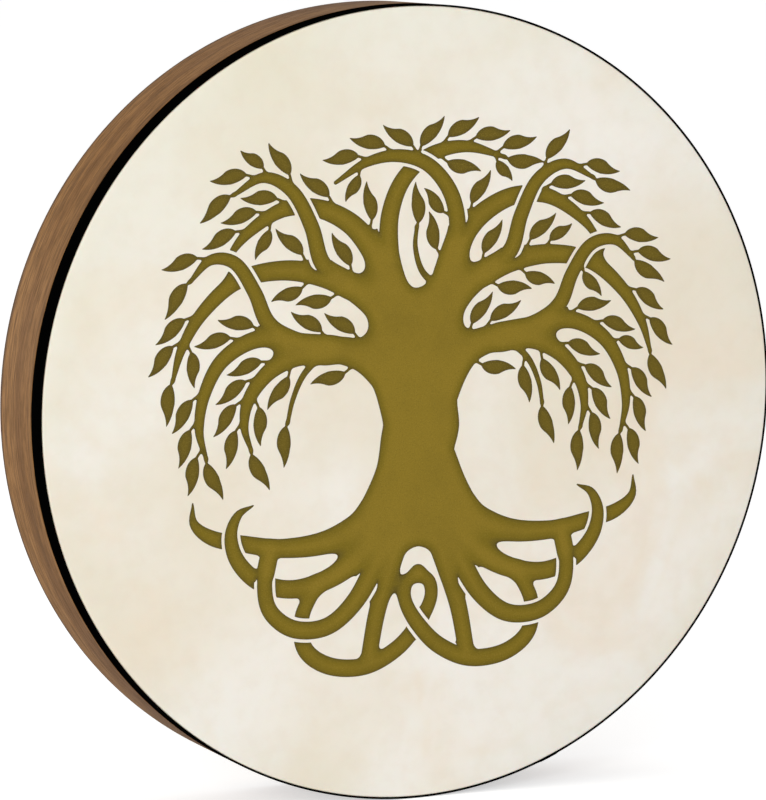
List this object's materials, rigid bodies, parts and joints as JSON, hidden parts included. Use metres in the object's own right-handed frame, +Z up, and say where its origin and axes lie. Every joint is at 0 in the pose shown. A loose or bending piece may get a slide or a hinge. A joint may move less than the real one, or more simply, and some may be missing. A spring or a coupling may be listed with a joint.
{
  "type": "bodhran",
  "caption": "Round Irish frame drum with a natural skin head, a black bound edge, a bent wooden shell, an inner tuning ring on socket screws, and a crossbar grip.",
  "frame": {"origin": "below the middle of the drum, at the height of the lowest point of its rim, halfway along its depth", "axes": "+Z up; the drum's axis runs along Y, and the skin faces -Y"},
  "size_m": [0.4572, 0.068, 0.4572],
  "materials": {
    "stained_wood": "brown stained hardwood ply with a satin varnish",
    "goatskin": "natural cream goatskin with a printed motif",
    "black_binding": "matte black binding",
    "ring_wood": "pale beech ply with a satin varnish",
    "cast_alloy": "tumbled alloy",
    "bright_steel": "zinc plated steel"
  },
  "bodies": {
    "frame": {"shell": "stained_wood", "drum_skin": "goatskin", "edge_band": "black_binding", "crossbar_upright": "stained_wood", "crossbar_across": "stained_wood", "crossbar_screw": "bright_steel", "bracket_1": "cast_alloy", "bracket_2": "cast_alloy", "bracket_3": "cast_alloy", "bracket_4": "cast_alloy", "bracket_5": "cast_alloy", "bracket_6": "cast_alloy", "bracket_7": "cast_alloy", "bracket_8": "cast_alloy", "bracket_screw_1a": "bright_steel", "bracket_screw_1b": "bright_steel", "bracket_screw_2a": "bright_steel", "bracket_screw_2b": "bright_steel", "bracket_screw_3a": "bright_steel", "bracket_screw_3b": "bright_steel", "bracket_screw_4a": "bright_steel", "bracket_screw_4b": "bright_steel", "bracket_screw_5a": "bright_steel", "bracket_screw_5b": "bright_steel", "bracket_screw_6a": "bright_steel", "bracket_screw_6b": "bright_steel", "bracket_screw_7a": "bright_steel", "bracket_screw_7b": "bright_steel", "bracket_screw_8a": "bright_steel", "bracket_screw_8b": "bright_steel"},
    "tuning_ring": {"tuning_ring": "ring_wood", "ring_saddle_1": "bright_steel", "ring_saddle_2": "bright_steel", "ring_saddle_3": "bright_steel", "ring_saddle_4": "bright_steel", "ring_saddle_5": "bright_steel", "ring_saddle_6": "bright_steel", "ring_saddle_7": "bright_steel", "ring_saddle_8": "bright_steel"},
    "tuning_screw_1": {"tuning_screw_1": "bright_steel"},
    "tuning_screw_2": {"tuning_screw_2": "bright_steel"},
    "tuning_screw_3": {"tuning_screw_3": "bright_steel"},
    "tuning_screw_4": {"tuning_screw_4": "bright_steel"},
    "tuning_screw_5": {"tuning_screw_5": "bright_steel"},
    "tuning_screw_6": {"tuning_screw_6": "bright_steel"},
    "tuning_screw_7": {"tuning_screw_7": "bright_steel"},
    "tuning_screw_8": {"tuning_screw_8": "bright_steel"}
  },
  "joints": [
    {"name": "ring_slide", "type": "slide", "parent": "frame", "child": "tuning_ring", "axis": [0, 1, 0], "range_m": [0, 0.004]},
    {"name": "tuning_screw_1_turn", "type": "hinge", "parent": "tuning_ring", "child": "tuning_screw_1", "pos_m": [0.19679, 0, 0.31011], "axis": [0, 1, 0], "range_deg": [0, 1440]},
    {"name": "tuning_screw_2_turn", "type": "hinge", "parent": "tuning_ring", "child": "tuning_screw_2", "pos_m": [0.08151, 0, 0.42539], "axis": [0, 1, 0], "range_deg": [0, 1440]},
    {"name": "tuning_screw_3_turn", "type": "hinge", "parent": "tuning_ring", "child": "tuning_screw_3", "pos_m": [-0.08151, 0, 0.42539], "axis": [0, 1, 0], "range_deg": [0, 1440]},
    {"name": "tuning_screw_4_turn", "type": "hinge", "parent": "tuning_ring", "child": "tuning_screw_4", "pos_m": [-0.19679, 0, 0.31011], "axis": [0, 1, 0], "range_deg": [0, 1440]},
    {"name": "tuning_screw_5_turn", "type": "hinge", "parent": "tuning_ring", "child": "tuning_screw_5", "pos_m": [-0.19679, 0, 0.14709], "axis": [0, 1, 0], "range_deg": [0, 1440]},
    {"name": "tuning_screw_6_turn", "type": "hinge", "parent": "tuning_ring", "child": "tuning_screw_6", "pos_m": [-0.08151, 0, 0.03181], "axis": [0, 1, 0], "range_deg": [0, 1440]},
    {"name": "tuning_screw_7_turn", "type": "hinge", "parent": "tuning_ring", "child": "tuning_screw_7", "pos_m": [0.08151, 0, 0.03181], "axis": [0, 1, 0], "range_deg": [0, 1440]},
    {"name": "tuning_screw_8_turn", "type": "hinge", "parent": "tuning_ring", "child": "tuning_screw_8", "pos_m": [0.19679, 0, 0.14709], "axis": [0, 1, 0], "range_deg": [0, 1440]}
  ],
  "couplings": [
    {"joint": "tuning_screw_1_turn", "follows": "ring_slide", "rad_per_m": 6283.2},
    {"joint": "tuning_screw_2_turn", "follows": "ring_slide", "rad_per_m": 6283.2},
    {"joint": "tuning_screw_3_turn", "follows": "ring_slide", "rad_per_m": 6283.2},
    {"joint": "tuning_screw_4_turn", "follows": "ring_slide", "rad_per_m": 6283.2},
    {"joint": "tuning_screw_5_turn", "follows": "ring_slide", "rad_per_m": 6283.2},
    {"joint": "tuning_screw_6_turn", "follows": "ring_slide", "rad_per_m": 6283.2},
    {"joint": "tuning_screw_7_turn", "follows": "ring_slide", "rad_per_m": 6283.2},
    {"joint": "tuning_screw_8_turn", "follows": "ring_slide", "rad_per_m": 6283.2}
  ]
}
